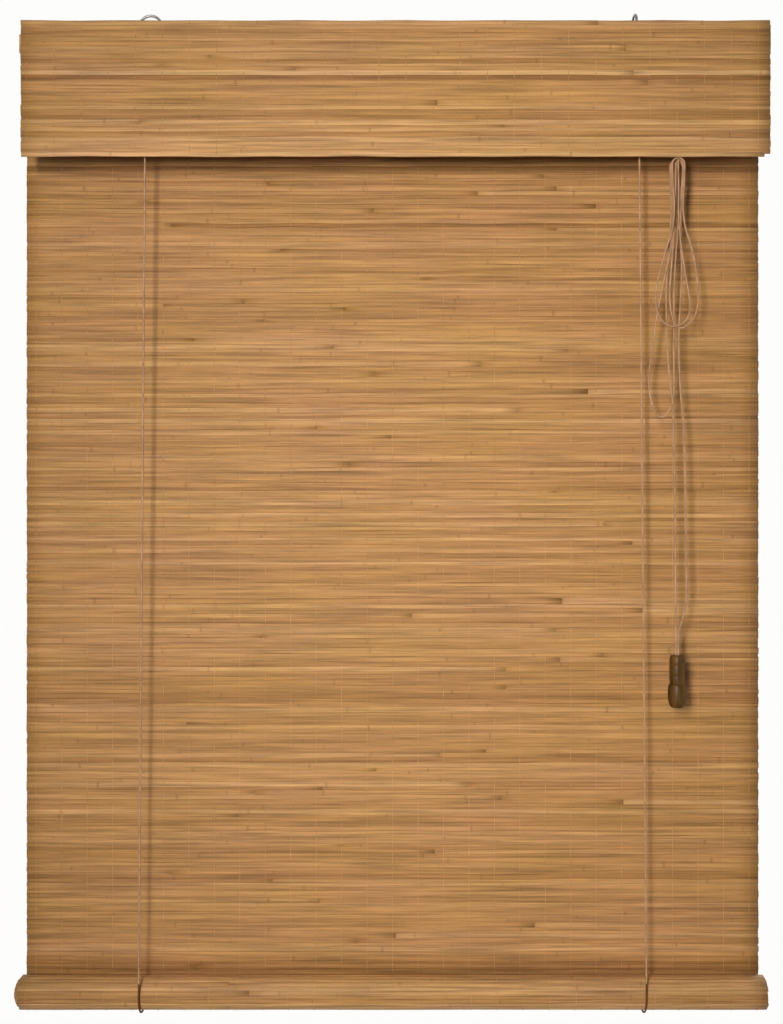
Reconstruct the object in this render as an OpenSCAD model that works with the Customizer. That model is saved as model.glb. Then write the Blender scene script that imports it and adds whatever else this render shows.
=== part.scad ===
// Bamboo roll-up blind. A reed mat hangs from the back of a wooden head rail, behind a
// short valance, and rolls up from the bottom in two cord slings. The lift cords run over
// two pulleys to a cord lock, and down from there as the pull cord with its tassel.
// Millimetres, +Z up, front of the blind towards -Y.
// Origin: midway between the two hanging eyes, at the centre of their rings.

/* [Reed mat] */
// Width of the mat
mat_w = 900; // [600:10:1400]
// Thickness of the mat over the sticks
mat_t = 2.2; // [1.8:0.1:3]
// Height that one stick takes up
stick_pitch = 5; // [4:0.5:8]
// Depth of the groove between two sticks
stick_groove = 0.5; // [0.2:0.05:0.6]
// Drop from the top of the head rail to the axis of the roll
mat_drop = 1145; // [900:5:1600]
// Columns of light slits between the sticks
slit_columns = 5; // [1:1:6]
// Sticks from one slit of a column to the next
slit_every = 12; // [12:1:30]
// Length of a slit
slit_w = 110; // [40:5:120]
// Height of a slit
slit_h = 0.5; // [0.3:0.1:0.8]

/* [Roll] */
// Outer diameter of the rolled-up part
roll_d = 43; // [36:0.5:60]
// How far the outer turns stand out past the mat at each side
roll_spread = 1.5; // [0:0.1:6]
// Diameter of the wooden bar at the core
bar_d = 14; // [10:0.5:20]
// Distance of each end of the bar inside the mat's edge
bar_inset = 2; // [0:0.5:10]

/* [Head rail] */
// Distance of each end of the rail inside the mat's edge
rail_inset = 10; // [0:0.5:40]
// Height of the rail
rail_h = 22; // [18:1:40]
// Chamfer along the edges of the rail
rail_chamfer = 1.5; // [0.5:0.1:3]

/* [Valance] */
// How far the valance stands out past each end of the rail
valance_overhang = 2.5; // [0:0.5:10]
// Height of the valance
valance_h = 159; // [120:1:260]
// Height of the valance above the top of the rail
valance_rise = 14.5; // [0:0.5:18]
// Brads that pin the valance to the rail
brad_count = 7; // [3:1:15]

/* [Hanging eyes] */
// Distance of each eye from the end of the rail
eye_inset = 149; // [60:1:220]
// Outer diameter of an eye
eye_d = 30; // [22:0.5:40]
// Thickness of the eye's wire
eye_wire_d = 3.2; // [2.4:0.1:4]
// Bare neck between the eye and the rail
eye_neck = 5; // [2:0.5:12]
// Depth of the eye's shank in the rail
eye_bite = 16; // [8:1:17]

/* [Lift cords] */
// Diameter of the cord
cord_d = 2.4; // [1.6:0.1:2.6]
// Distance of each cord from the mat's edge, at the roll
cord_inset = 147; // [140:1:200]
// How far a front strand leans inwards from the roll to its pulley
cord_lean = 11; // [0:1:20]
// Staples that hold the mat on the rail
staple_count = 9; // [3:1:17]

/* [Pulleys and cord lock] */
// Outer diameter of a pulley wheel
wheel_d = 19; // [16:0.5:26]
// Diameter at the bottom of the wheel's groove
wheel_floor_d = 14; // [10:0.5:15]
// Width of one groove with its flanges
groove_w = 4; // [3.4:0.1:5]
// Diameter of the wheel pins
pin_d = 4; // [2.4:0.1:5]
// Thickness of the bracket steel
plate_t = 1; // [0.8:0.1:1.6]
// Diameter of the lock's jamming roller
jam_d = 9; // [6:0.5:10]
// Travel of the jamming roller along its slots
jam_travel = 4.5; // [3:0.1:5]
// Distance of the pull cord from the mat's edge
pull_inset = 113; // [60:1:116]

/* [Pull cord and tassel] */
// Largest diameter of the tassel
tassel_d = 22; // [18:0.5:30]
// Height of the tassel
tassel_h = 62; // [50:1:80]
// Height of the tassel's top below the hanging eyes
tassel_z = 753; // [700:1:900]
// Depth of the hanked cord, front to back
hank_t = 12; // [8:0.5:14]

/* [Hidden] */
$fn = 48;
roll_gap = 0.3;      // clearance between the roll, the mat's end and the slings
turn_gap = 0.3;      // clearance between two turns of the roll
pass_gap = 0.5;      // clearance between the roll and the tassel as they pass
pin_gap = 0.05;      // radial running clearance on a pin
cord_gap = 0.3;      // clearance between a cord and what it runs beside
side_gap = 0.3;      // clearance between a wheel and its bracket
cord_r = cord_d / 2;

// Width: everything keeps its distance from the edges of the mat
roll_w = mat_w + 2 * roll_spread;
bar_w = mat_w - 2 * bar_inset;
rail_w = mat_w - 2 * rail_inset;
valance_w = rail_w + 2 * valance_overhang;
eye_spacing = rail_w - 2 * eye_inset;
cord_low_spacing = mat_w - 2 * cord_inset;
cord_top_spacing = cord_low_spacing - 2 * cord_lean;
pull_x = mat_w / 2 - pull_inset;

// Depth: the rail is as deep as the roll, the tassel in front of it and half the lock
track = 2.6;         // distance of each cord from the middle of the lock
lock_half = track + groove_w / 2 + side_gap + plate_t;
rail_lip = 1.6;      // rail in front of the lock, with room for the rivet heads
rail_d = roll_d - mat_t + pass_gap + tassel_d / 2 + lock_half + rail_lip;
back_y = rail_d / 2;
front_y = -rail_d / 2;
pull_y = front_y + rail_lip + lock_half;
roll_y = back_y + mat_t - roll_d / 2;

// Height
eye_mid_r = (eye_d - eye_wire_d) / 2;
eye_land_r = eye_d / 2 - eye_wire_d + 0.3;   // inner wall of the eye, worn flat by the hook
rail_z = -(eye_d / 2 + eye_neck);
rail_low_z = rail_z - rail_h;
roll_z = rail_z - mat_drop;
valance_z = rail_z + valance_rise;
mat_h = mat_drop - roll_gap;

// Pulleys: all three wheels share one height, so the cords run level
wheel_r = wheel_d / 2;
run_r = wheel_floor_d / 2 + cord_r + cord_gap;
wheel_gap = 0.8;
wheel_z = rail_low_z - plate_t - wheel_gap - wheel_r;
left_y = pull_y - track;
right_y = pull_y + track;
left_wheel_x = -cord_top_spacing / 2 + run_r;
right_wheel_x = cord_top_spacing / 2 + run_r;
lock_x = pull_x - run_r;
flange_w = 11;       // rear flange of a bracket, which takes the screws
screw_inset = 5.5;
screw_d = 2.6;
screw_head_d = 5;
screw_head_h = 1.6;
screw_l = 14;
hole_gap = 0.2;
ear_r = 6;           // round end of a pulley bracket's cheeks
bracket_half = 9;    // half the length of a pulley bracket

// Cord lock
jam_r = jam_d / 2;
jam_axle_d = 3;
jam_angle = 120;     // direction of the slots, from +X towards +Z
jam_x = pull_x - cord_r - cord_gap - jam_r;
jam_z = wheel_z - wheel_r - jam_r - jam_travel * sin(jam_angle) - 1.5;
post_d = 5;
post_x = pull_x + cord_r + cord_gap + post_d / 2;
lock_low_z = jam_z - jam_r - 3;
lock_left_x = lock_x - wheel_r - 1.5;
lock_right_x = post_x + post_d / 2 + 3;
lock_corner = 5;

// Slings
sling_r = roll_d / 2 + roll_gap + cord_r;
sling_steps = 18;

// Anchors of the cords' fixed ends, behind the mat
anchor_r = 4;
anchor_wire_r = 1;
anchor_bite = 14;
anchor_y = back_y + mat_t + anchor_r + 2 * anchor_wire_r;
anchor_z = rail_z - rail_h / 2;

// Pull cord: offsets from the pull cord's own line, X and Z, chosen along the photographed cord
hank_top = -168;
hank_neck = -228;
hank_belly = -338;
hank_head_r = 10;
hank_neck_r = 9;
hank_belly_r = 27;
hank_shift = -0.5;
loop_route = [[-24, -355], [-28, -385], [-32, -412], [-33, -430], [-31, -448], [-27, -461],
              [-21, -470], [-15, -470], [-9, -463], [-5, -452], [-3, -436], [-3, -412],
              [-3, -385], [-3, -358]];
left_tail = [[-12, -355], [-12, -378], [-10.5, -405], [-8.5, -428], [-6, -446], [-4.5, -465],
             [-4, -500], [-3, -540], [-2, -600], [-2, -660], [-1.6, -710], [-1.4, -740],
             [-1.4, -760], [-1.4, -802]];
right_tail = [[3, -358], [2.5, -385], [3, -410], [5, -450], [8, -485], [9, -520], [10, -560],
              [10.5, -620], [11.5, -665], [11, -690], [7, -708], [3, -722], [1.5, -738],
              [1.4, -760], [1.4, -802]];
cord_sides = 8;

// Tassel
tassel_bore_r = cord_d + 0.5;
tassel_cup_r = 5.2;
tassel_cup_h = 13;
knot_r = 4.6;

// Colours
bamboo = [0.70, 0.50, 0.31];
pine = [0.78, 0.62, 0.42];
steel = [0.62, 0.62, 0.60];
cord_brown = [0.72, 0.54, 0.40];
dark_wood = [0.23, 0.16, 0.10];

// Reed mat

// One face of a row of sticks, from the top down, as [depth, height] points
function stick_face(count, pitch, crest, valley) =
    [for (i = [0:count - 1]) each [[valley, -i * pitch],
                                   [crest, -(i + 0.2) * pitch],
                                   [crest, -(i + 0.8) * pitch]],
     [valley, -count * pitch]];

function backwards(list) = [for (i = [len(list) - 1:-1:0]) list[i]];

// A wall of sticks, front crests on Y = 0 and top edge on Z = 0
module reed_panel(width, height) {
    count = round(height / stick_pitch);
    pitch = height / count;
    front = stick_face(count, pitch, 0, stick_groove);
    back = stick_face(count, pitch, mat_t, mat_t - stick_groove);
    rotate([90, 0, 90])
        linear_extrude(width, center = true)
            polygon(concat(front, backwards(back)));
}

// Long narrow gaps between sticks, in staggered columns
module light_slits(width, height) {
    count = round(height / stick_pitch);
    pitch = height / count;
    spacing = width / slit_columns;
    for (column = [0:slit_columns - 1])
        for (i = [slit_every + (column * 5) % slit_every:slit_every:count - 2])
            translate([(column + 0.5) * spacing - width / 2 - slit_w / 2, -1, -i * pitch - slit_h / 2])
                cube([slit_w, mat_t + 2, slit_h]);
}

module hanging_mat() {
    color(bamboo)
        translate([0, back_y, rail_z])
            difference() {
                reed_panel(mat_w, mat_h);
                light_slits(mat_w, mat_h);
            }
}

module valance() {
    color(bamboo)
        translate([0, front_y - mat_t, valance_z])
            reed_panel(valance_w, valance_h);
}

// Roll: a strip wound inwards from the mat's end, down the back and up the front
turn_pitch = mat_t + turn_gap;
wind = turn_pitch / 360;
wound_r = roll_d / 2 - mat_t / 2;
core_r = bar_d / 2 + turn_gap + mat_t / 2;
wound_l = (pow(wound_r, 2) - pow(core_r, 2)) * PI / turn_pitch;
wound_sticks = floor(wound_l / stick_pitch);

// Degrees of winding at a length along the strip
function wound_angle(along) =
    (wound_r - sqrt(pow(wound_r, 2) - along * turn_pitch / PI)) / wind;

function wound_point(along, offset) =
    let (angle = wound_angle(along), r = wound_r - wind * angle + offset)
    [r * cos(angle), -r * sin(angle)];

function wound_face(crest, valley) =
    [for (i = [0:wound_sticks - 1]) each [wound_point(i * stick_pitch, valley),
                                          wound_point((i + 0.2) * stick_pitch, crest),
                                          wound_point((i + 0.8) * stick_pitch, crest)],
     wound_point(wound_sticks * stick_pitch, valley)];

module rolled_mat() {
    crest = mat_t / 2;
    valley = mat_t / 2 - stick_groove;
    color(bamboo)
        translate([0, roll_y, roll_z])
            rotate([90, 0, 90])
                linear_extrude(roll_w, center = true)
                    polygon(concat(wound_face(crest, valley), backwards(wound_face(-crest, -valley))));
}

module bottom_bar() {
    color(pine)
        translate([0, roll_y, roll_z])
            rotate([0, 90, 0])
                cylinder(h = bar_w, d = bar_d, center = true);
}

// Head rail
module head_rail() {
    c = rail_chamfer;
    half = rail_d / 2;
    color(pine)
        difference() {
            translate([0, 0, rail_z])
                rotate([90, 0, 90])
                    linear_extrude(rail_w, center = true)
                        polygon([[-half, -c], [-half + c, 0], [half - c, 0], [half, -c],
                                 [half, -rail_h + c], [half - c, -rail_h],
                                 [-half + c, -rail_h], [-half, -rail_h + c]]);
            for (side = [-1, 1])
                translate([side * eye_spacing / 2, 0, rail_z - eye_bite - 1])
                    cylinder(h = eye_bite + 2, d = eye_wire_d + 2 * pin_gap);
            at_screws()
                translate([0, 0, -1])
                    cylinder(h = screw_l + 2, d = screw_d + 2 * pin_gap);
        }
}

module valance_brads() {
    brad_l = 16;
    brad_d = 1.4;
    end_inset = 30;
    row = rail_w - 2 * end_inset;
    step = row / (brad_count - 1);
    color(steel)
        for (i = [0:brad_count - 1])
            translate([i * step - row / 2, front_y - mat_t, rail_z - rail_h / 2])
                rotate([-90, 0, 0])
                    cylinder(h = brad_l, d = brad_d);
}

module mat_staples() {
    crown = 10;
    wire = 0.8;
    leg = 8;
    drop = 5;
    end_inset = 40;
    row = mat_w - 2 * end_inset;
    step = row / (staple_count - 1);
    color(steel)
        for (i = [0:staple_count - 1])
            translate([i * step - row / 2, back_y + mat_t, rail_z - drop - wire / 2]) {
                translate([-crown / 2, 0, 0]) cube([crown, wire, wire]);
                for (end = [-1, 1])
                    translate([end * (crown - wire) / 2 - wire / 2, -leg, 0]) cube([wire, leg + wire, wire]);
            }
}

// A wire ring in the XZ plane with a flat land inside, on a straight shank
module hanging_eye() {
    color(steel) {
        rotate([90, 0, 0])
            rotate_extrude()
                intersection() {
                    translate([eye_mid_r, 0]) circle(d = eye_wire_d);
                    translate([eye_land_r, -eye_wire_d]) square(2 * eye_wire_d);
                }
        translate([0, 0, rail_z - eye_bite])
            cylinder(h = eye_bite - rail_z - eye_mid_r, d = eye_wire_d);
    }
}

module hanging_eye_left() { translate([-eye_spacing / 2, 0, 0]) hanging_eye(); }
module hanging_eye_right() { translate([eye_spacing / 2, 0, 0]) rotate([0, 0, 90]) hanging_eye(); }

// Pulleys

// A wheel on the Y axis with one or more cord grooves side by side
module grooved_wheel(grooves, spacing) {
    r0 = wheel_floor_d / 2;
    half = (grooves - 1) * spacing / 2 + groove_w / 2;
    centres = [for (i = [0:grooves - 1]) (i - (grooves - 1) / 2) * spacing];
    floor_half = cord_r + 0.15;
    lip = 0.4;
    rotate([90, 0, 0])
        rotate_extrude()
            polygon(concat([[pin_d / 2 + pin_gap, -half], [wheel_r, -half]],
                           [for (c = centres) each [[wheel_r, c - groove_w / 2 + lip],
                                                    [r0, c - floor_half],
                                                    [r0, c + floor_half],
                                                    [wheel_r, c + groove_w / 2 - lip]]],
                           [[wheel_r, half], [pin_d / 2 + pin_gap, half]]));
}

// A riveted pin on the Y axis through two cheeks
module rivet(half, d, head_d) {
    head_h = 0.8;
    rotate([90, 0, 0]) {
        cylinder(h = 2 * (half + pin_gap), d = d, center = true);
        for (end = [0, 1])
            mirror([0, 0, end])
                translate([0, 0, half + pin_gap])
                    cylinder(h = head_h, d = head_d);
    }
}

cheek = groove_w / 2 + side_gap + plate_t;   // half the width of a pulley bracket

// Top plate under the rail with a flange behind that takes two screws
module top_plate(x0, x1, half, screws) {
    difference() {
        translate([x0, -half, rail_low_z - plate_t])
            cube([x1 - x0, 2 * half + flange_w, plate_t]);
        for (x = screws)
            translate([x, half + screw_inset, rail_low_z - plate_t - 1])
                cylinder(h = plate_t + 2, d = screw_d + 2 * hole_gap);
    }
}

module pulley_bracket() {
    color(steel) {
        top_plate(-bracket_half, bracket_half, cheek, [-screw_inset, screw_inset]);
        for (side = [-1, 1])
            translate([0, side * (cheek - plate_t / 2), 0])
                rotate([90, 0, 0])
                    linear_extrude(plate_t, center = true)
                        difference() {
                            union() {
                                translate([-ear_r, wheel_z])
                                    square([2 * ear_r, rail_low_z - plate_t - wheel_z]);
                                translate([0, wheel_z]) circle(ear_r);
                            }
                            translate([0, wheel_z]) circle(d = pin_d + 2 * pin_gap);
                        }
    }
}

module left_pulley_bracket() { translate([left_wheel_x, left_y, 0]) pulley_bracket(); }
module right_pulley_bracket() { translate([right_wheel_x, right_y, 0]) pulley_bracket(); }
module at_left_wheel() { translate([left_wheel_x, left_y, wheel_z]) children(); }
module at_right_wheel() { translate([right_wheel_x, right_y, wheel_z]) children(); }
module left_pulley_wheel() { color(steel) at_left_wheel() grooved_wheel(1, 0); }
module right_pulley_wheel() { color(steel) at_right_wheel() grooved_wheel(1, 0); }
module left_pulley_pin() { color(steel) at_left_wheel() rivet(cheek, pin_d, pin_d + 2); }
module right_pulley_pin() { color(steel) at_right_wheel() rivet(cheek, pin_d, pin_d + 2); }

// Cord lock

// Slot along the jamming roller's travel, from its rest position
module jam_slot() {
    d = jam_axle_d + 2 * pin_gap;
    translate([jam_x, jam_z])
        rotate(jam_angle) {
            circle(d = d);
            translate([jam_travel, 0]) circle(d = d);
            translate([0, -d / 2]) square([jam_travel, d]);
        }
}

module cord_lock_housing() {
    c = lock_corner;
    color(steel)
        translate([0, pull_y, 0]) {
            top_plate(lock_left_x, lock_right_x, lock_half,
                      [lock_left_x + screw_inset, lock_right_x - screw_inset]);
            for (side = [-1, 1])
                translate([0, side * (lock_half - plate_t / 2), 0])
                    rotate([90, 0, 0])
                        linear_extrude(plate_t, center = true)
                            difference() {
                                polygon([[lock_left_x, rail_low_z - plate_t],
                                         [lock_left_x, lock_low_z + c], [lock_left_x + c, lock_low_z],
                                         [lock_right_x - c, lock_low_z], [lock_right_x, lock_low_z + c],
                                         [lock_right_x, rail_low_z - plate_t]]);
                                translate([lock_x, wheel_z]) circle(d = pin_d + 2 * pin_gap);
                                translate([post_x, jam_z]) circle(d = post_d + 2 * pin_gap);
                                jam_slot();
                            }
        }
}

module at_lock_wheel() { translate([lock_x, pull_y, wheel_z]) children(); }
module at_lock_post() { translate([post_x, pull_y, jam_z]) children(); }
module cord_lock_wheel() { color(steel) at_lock_wheel() grooved_wheel(2, 2 * track); }
module cord_lock_pin() { color(steel) at_lock_wheel() rivet(lock_half, pin_d, pin_d + 2); }
module cord_lock_post() { color(steel) at_lock_post() rivet(lock_half, post_d, post_d + 2); }

module cord_lock_roller() {
    color(steel)
        translate([jam_x, pull_y, jam_z])
            rotate([90, 0, 0]) {
                cylinder(h = 2 * (lock_half - plate_t - side_gap), d = jam_d, center = true);
                cylinder(h = 2 * (lock_half + 1), d = jam_axle_d, center = true);
            }
}

// Places the children at each bracket screw, on the underside of the rail
module at_screws() {
    left_screws = [for (side = [-1, 1]) [left_wheel_x + side * screw_inset, left_y + cheek]];
    right_screws = [for (side = [-1, 1]) [right_wheel_x + side * screw_inset, right_y + cheek]];
    lock_screws = [[lock_left_x + screw_inset, pull_y + lock_half],
                   [lock_right_x - screw_inset, pull_y + lock_half]];
    for (place = concat(left_screws, right_screws, lock_screws))
        translate([place[0], place[1] + screw_inset, rail_low_z])
            children();
}

module bracket_screws() {
    color(steel)
        at_screws() {
            translate([0, 0, -plate_t - screw_head_h]) cylinder(h = screw_head_h, d = screw_head_d);
            translate([0, 0, -plate_t]) cylinder(h = screw_l + plate_t, d = screw_d);
        }
}

// Small screw eye in the back of the rail, ring in the YZ plane
module cord_anchor() {
    color(steel) {
        rotate([0, 90, 0])
            rotate_extrude()
                translate([anchor_r, 0]) circle(anchor_wire_r);
        translate([0, back_y - anchor_bite - anchor_y, 0])
            rotate([-90, 0, 0])
                cylinder(h = anchor_bite + mat_t + 2 * anchor_wire_r, r = anchor_wire_r);
    }
}

module left_cord_anchor() { translate([-cord_low_spacing / 2, anchor_y, anchor_z]) cord_anchor(); }
module right_cord_anchor() { translate([cord_low_spacing / 2, anchor_y, anchor_z]) cord_anchor(); }

// Cords

function unit(v) = v / norm(v);
function heading(route, i) =
    unit(route[min(i + 1, len(route) - 1)] - route[max(i - 1, 0)]);

// A cord along a route; flat is a direction that the route never runs in
module cord(route, flat) {
    rings = len(route);
    points = [for (i = [0:rings - 1])
        let (along = heading(route, i), side = unit(cross(along, flat)), up = cross(side, along))
        for (k = [0:cord_sides - 1])
            route[i] + cord_r * (cos(360 * k / cord_sides) * side + sin(360 * k / cord_sides) * up)];
    walls = [for (i = [0:rings - 2]) for (k = [0:cord_sides - 1])
        let (a = i * cord_sides + k, b = i * cord_sides + (k + 1) % cord_sides)
        each [[a, b, b + cord_sides], [a, b + cord_sides, a + cord_sides]]];
    first = [for (k = [cord_sides - 1:-1:0]) k];
    last = [for (k = [0:cord_sides - 1]) (rings - 1) * cord_sides + k];
    color(cord_brown)
        polyhedron(points, concat(walls, [first, last]), convexity = 6);
}

// Quarter turn over a wheel, from one angle to another, in the XZ plane
function over_wheel(x, y, from, to) =
    [for (i = [0:6]) let (a = from + (to - from) * i / 6) [x + run_r * cos(a), y, wheel_z + run_r * sin(a)]];

module cord_run(x, y) {
    cord(concat(over_wheel(x, y, 180, 90), over_wheel(lock_x, y, 90, 0)), [0, 1, 0]);
}

// Straight strand between two points
module strand(from, to) {
    steps = 4;
    cord([for (i = [0:steps]) from + (to - from) * i / steps], [0, 1, 0]);
}

module cord_front(side, y) {
    strand([side * cord_low_spacing / 2, roll_y - sling_r, roll_z + roll_gap],
           [side < 0 ? left_wheel_x - run_r : right_wheel_x - run_r, y, wheel_z - roll_gap]);
}

module cord_back(side) {
    strand([side * cord_low_spacing / 2, roll_y + sling_r, roll_z + roll_gap],
           [side * cord_low_spacing / 2, anchor_y, anchor_z - anchor_r - anchor_wire_r - cord_gap]);
}

module cord_sling(side) {
    cord([for (i = [0:sling_steps]) let (a = 180 + 180 * i / sling_steps)
              [side * cord_low_spacing / 2, roll_y + sling_r * cos(a), roll_z + sling_r * sin(a)]],
         [1, 0, 0]);
}

module left_cord_run() { cord_run(left_wheel_x, left_y); }
module right_cord_run() { cord_run(right_wheel_x, right_y); }
module left_cord_front() { cord_front(-1, left_y); }
module right_cord_front() { cord_front(1, right_y); }
module left_cord_back() { cord_back(-1); }
module right_cord_back() { cord_back(1); }
module left_cord_sling() { cord_sling(-1); }
module right_cord_sling() { cord_sling(1); }

// Pull cord

function pull_route(offsets, y) = [for (p = offsets) [pull_x + p[0], y, p[1]]];

module pull_cord_leads() {
    for (y = [left_y, right_y])
        strand([pull_x, y, hank_top + hank_head_r + roll_gap], [pull_x, y, wheel_z - roll_gap]);
}

module pull_cord_hank() {
    color(cord_brown)
        translate([pull_x + hank_shift, pull_y, 0])
            rotate([90, 0, 0])
                linear_extrude(hank_t, center = true) {
                    hull() {
                        translate([0, hank_top]) circle(hank_head_r, $fn = 24);
                        translate([0, hank_neck]) circle(hank_neck_r, $fn = 24);
                    }
                    hull() {
                        translate([0, hank_neck]) circle(hank_neck_r, $fn = 24);
                        translate([0, hank_belly]) circle(hank_belly_r, $fn = 32);
                    }
                }
}

module pull_cord_loop() { cord(pull_route(loop_route, right_y), [0, 1, 0]); }

module pull_cord_tails() {
    cord(pull_route(left_tail, pull_y), [0, 1, 0]);
    cord(pull_route(right_tail, pull_y), [0, 1, 0]);
}

// Tassel: a turned grip with two rings, a neck and a ball, as radius over depth
bulb_r = tassel_d / 2;
grip_r = bulb_r - 1.8;
lip_r = bulb_r - 2.8;
neck_r = bulb_r - 2.5;
ball_h = 28.5;       // height of the ball, from the neck to the foot
ball_low_h = 16;     // height of the ball's widest place above the foot
neck_h = tassel_h - ball_h;
bulb_mid = tassel_h - ball_low_h;
ring_depths = [10.5, 23.5];
ring_w = 2.4;
ring_cut = 0.8;
bulb_steps = 8;

function bulb_point(from_r, from_h, to_r, to_h, share) =
    [from_r + (to_r - from_r) * sin(90 * share), -(from_h + (to_h - from_h) * (1 - cos(90 * share)))];

module tassel() {
    foot_r = tassel_cup_r + 1;
    outline = concat(
        [[0, 0], [lip_r - 1, 0], [lip_r, -1]],
        [for (depth = ring_depths) each [[grip_r, -depth + ring_w / 2],
                                         [grip_r - ring_cut, -depth],
                                         [grip_r, -depth - ring_w / 2]]],
        [for (i = [0:bulb_steps]) bulb_point(neck_r, neck_h, bulb_r, bulb_mid, i / bulb_steps)],
        [for (i = [1:bulb_steps]) let (a = 90 * i / bulb_steps)
            [foot_r + (bulb_r - foot_r) * cos(a), -(bulb_mid + (tassel_h - bulb_mid) * sin(a))]],
        [[0, -tassel_h]]);
    color(dark_wood)
        translate([pull_x, pull_y, -tassel_z])
            difference() {
                rotate_extrude() polygon(outline);
                translate([0, 0, -tassel_h - 1]) cylinder(h = tassel_h + 2, r = tassel_bore_r);
                translate([0, 0, -tassel_h - 1]) cylinder(h = tassel_cup_h + 1, r = tassel_cup_r);
            }
}

module tassel_knot() {
    color(cord_brown)
        translate([pull_x, pull_y, -tassel_z - tassel_h + tassel_cup_h - knot_r - 0.2])
            sphere(knot_r);
}

head_rail();
valance();
valance_brads();
hanging_mat();
mat_staples();
hanging_eye_left();
hanging_eye_right();
left_pulley_bracket();
left_pulley_wheel();
left_pulley_pin();
right_pulley_bracket();
right_pulley_wheel();
right_pulley_pin();
cord_lock_housing();
cord_lock_wheel();
cord_lock_pin();
cord_lock_post();
cord_lock_roller();
bracket_screws();
left_cord_anchor();
right_cord_anchor();
left_cord_run();
right_cord_run();
left_cord_front();
right_cord_front();
left_cord_back();
right_cord_back();
left_cord_sling();
right_cord_sling();
rolled_mat();
bottom_bar();
pull_cord_leads();
pull_cord_hank();
pull_cord_loop();
pull_cord_tails();
tassel();
tassel_knot();
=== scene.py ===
"""Bamboo roll-up blind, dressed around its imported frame. Metres, +Z up, front towards -Y."""

import math
import random

import bpy
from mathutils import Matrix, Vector


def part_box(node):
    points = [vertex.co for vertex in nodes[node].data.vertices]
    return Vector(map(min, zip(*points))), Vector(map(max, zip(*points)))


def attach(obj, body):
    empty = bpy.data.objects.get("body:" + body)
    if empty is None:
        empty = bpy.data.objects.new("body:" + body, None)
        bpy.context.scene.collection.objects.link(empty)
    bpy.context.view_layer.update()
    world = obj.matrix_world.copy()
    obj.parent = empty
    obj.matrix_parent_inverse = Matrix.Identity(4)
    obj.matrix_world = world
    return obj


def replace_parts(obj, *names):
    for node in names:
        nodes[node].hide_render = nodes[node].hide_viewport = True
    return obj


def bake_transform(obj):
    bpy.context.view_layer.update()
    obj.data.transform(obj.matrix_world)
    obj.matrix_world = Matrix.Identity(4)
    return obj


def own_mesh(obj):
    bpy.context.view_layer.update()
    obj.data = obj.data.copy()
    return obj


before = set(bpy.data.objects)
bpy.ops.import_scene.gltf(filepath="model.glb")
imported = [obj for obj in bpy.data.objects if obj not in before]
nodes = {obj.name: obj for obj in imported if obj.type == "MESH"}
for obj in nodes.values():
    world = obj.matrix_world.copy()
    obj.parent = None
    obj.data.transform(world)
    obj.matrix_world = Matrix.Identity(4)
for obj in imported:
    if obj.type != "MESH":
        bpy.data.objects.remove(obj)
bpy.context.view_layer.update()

MM = 0.001

# Places that the frame gives
mat_low, mat_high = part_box("hanging_mat")
valance_low, valance_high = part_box("valance")
roll_low, roll_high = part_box("rolled_mat")
bar_low, bar_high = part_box("bottom_bar")
tassel_low, tassel_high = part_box("tassel")
wheel_low, wheel_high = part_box("cord_lock_wheel")

mat_t = mat_high[1] - mat_low[1]
mat_y = (mat_low[1] + mat_high[1]) / 2
roll_y = (bar_low[1] + bar_high[1]) / 2
roll_z = (bar_low[2] + bar_high[2]) / 2
roll_r = mat_high[1] - roll_y
bar_r = (bar_high[2] - bar_low[2]) / 2
pull_x = (tassel_low[0] + tassel_high[0]) / 2
pull_y = (tassel_low[1] + tassel_high[1]) / 2
wheel_z = (wheel_low[2] + wheel_high[2]) / 2

# Camera, at the photograph's height and distance
IMAGE_H = 1024
FOCAL_PX = 1179
CAMERA_X = -0.0013
CAMERA_Z = -0.5835
CAMERA_DISTANCE = 1.45
CAMERA_REACH = 50
SENSOR_H = 36

camera = bpy.data.cameras.new("camera")
camera.sensor_fit = "VERTICAL"
camera.sensor_height = SENSOR_H
camera.lens = SENSOR_H * FOCAL_PX / IMAGE_H
camera.clip_end = CAMERA_REACH
camera_at = bpy.data.objects.new("camera", camera)
camera_at.location = (CAMERA_X, mat_y - CAMERA_DISTANCE, CAMERA_Z)
camera_at.rotation_euler = (math.radians(90), 0, 0)
bpy.context.collection.objects.link(camera_at)
bpy.context.scene.camera = camera_at


# Colours and materials
FINE_BUMP = 0.0003
STAIN_BUMP = 0.0002
EVEN = (1, 1, 1)
# Sockets of a Mix node for colours
MIX_FACTOR, MIX_A, MIX_B, MIX_RESULT = 0, 6, 7, 2


def linear(r, g, b):
    """A colour given in 0 to 255 screen values, as the linear colour that shaders take."""
    def channel(v):
        v /= 255
        return v / 12.92 if v <= 0.04045 else ((v + 0.055) / 1.055) ** 2.4
    return (channel(r), channel(g), channel(b), 1)


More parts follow.
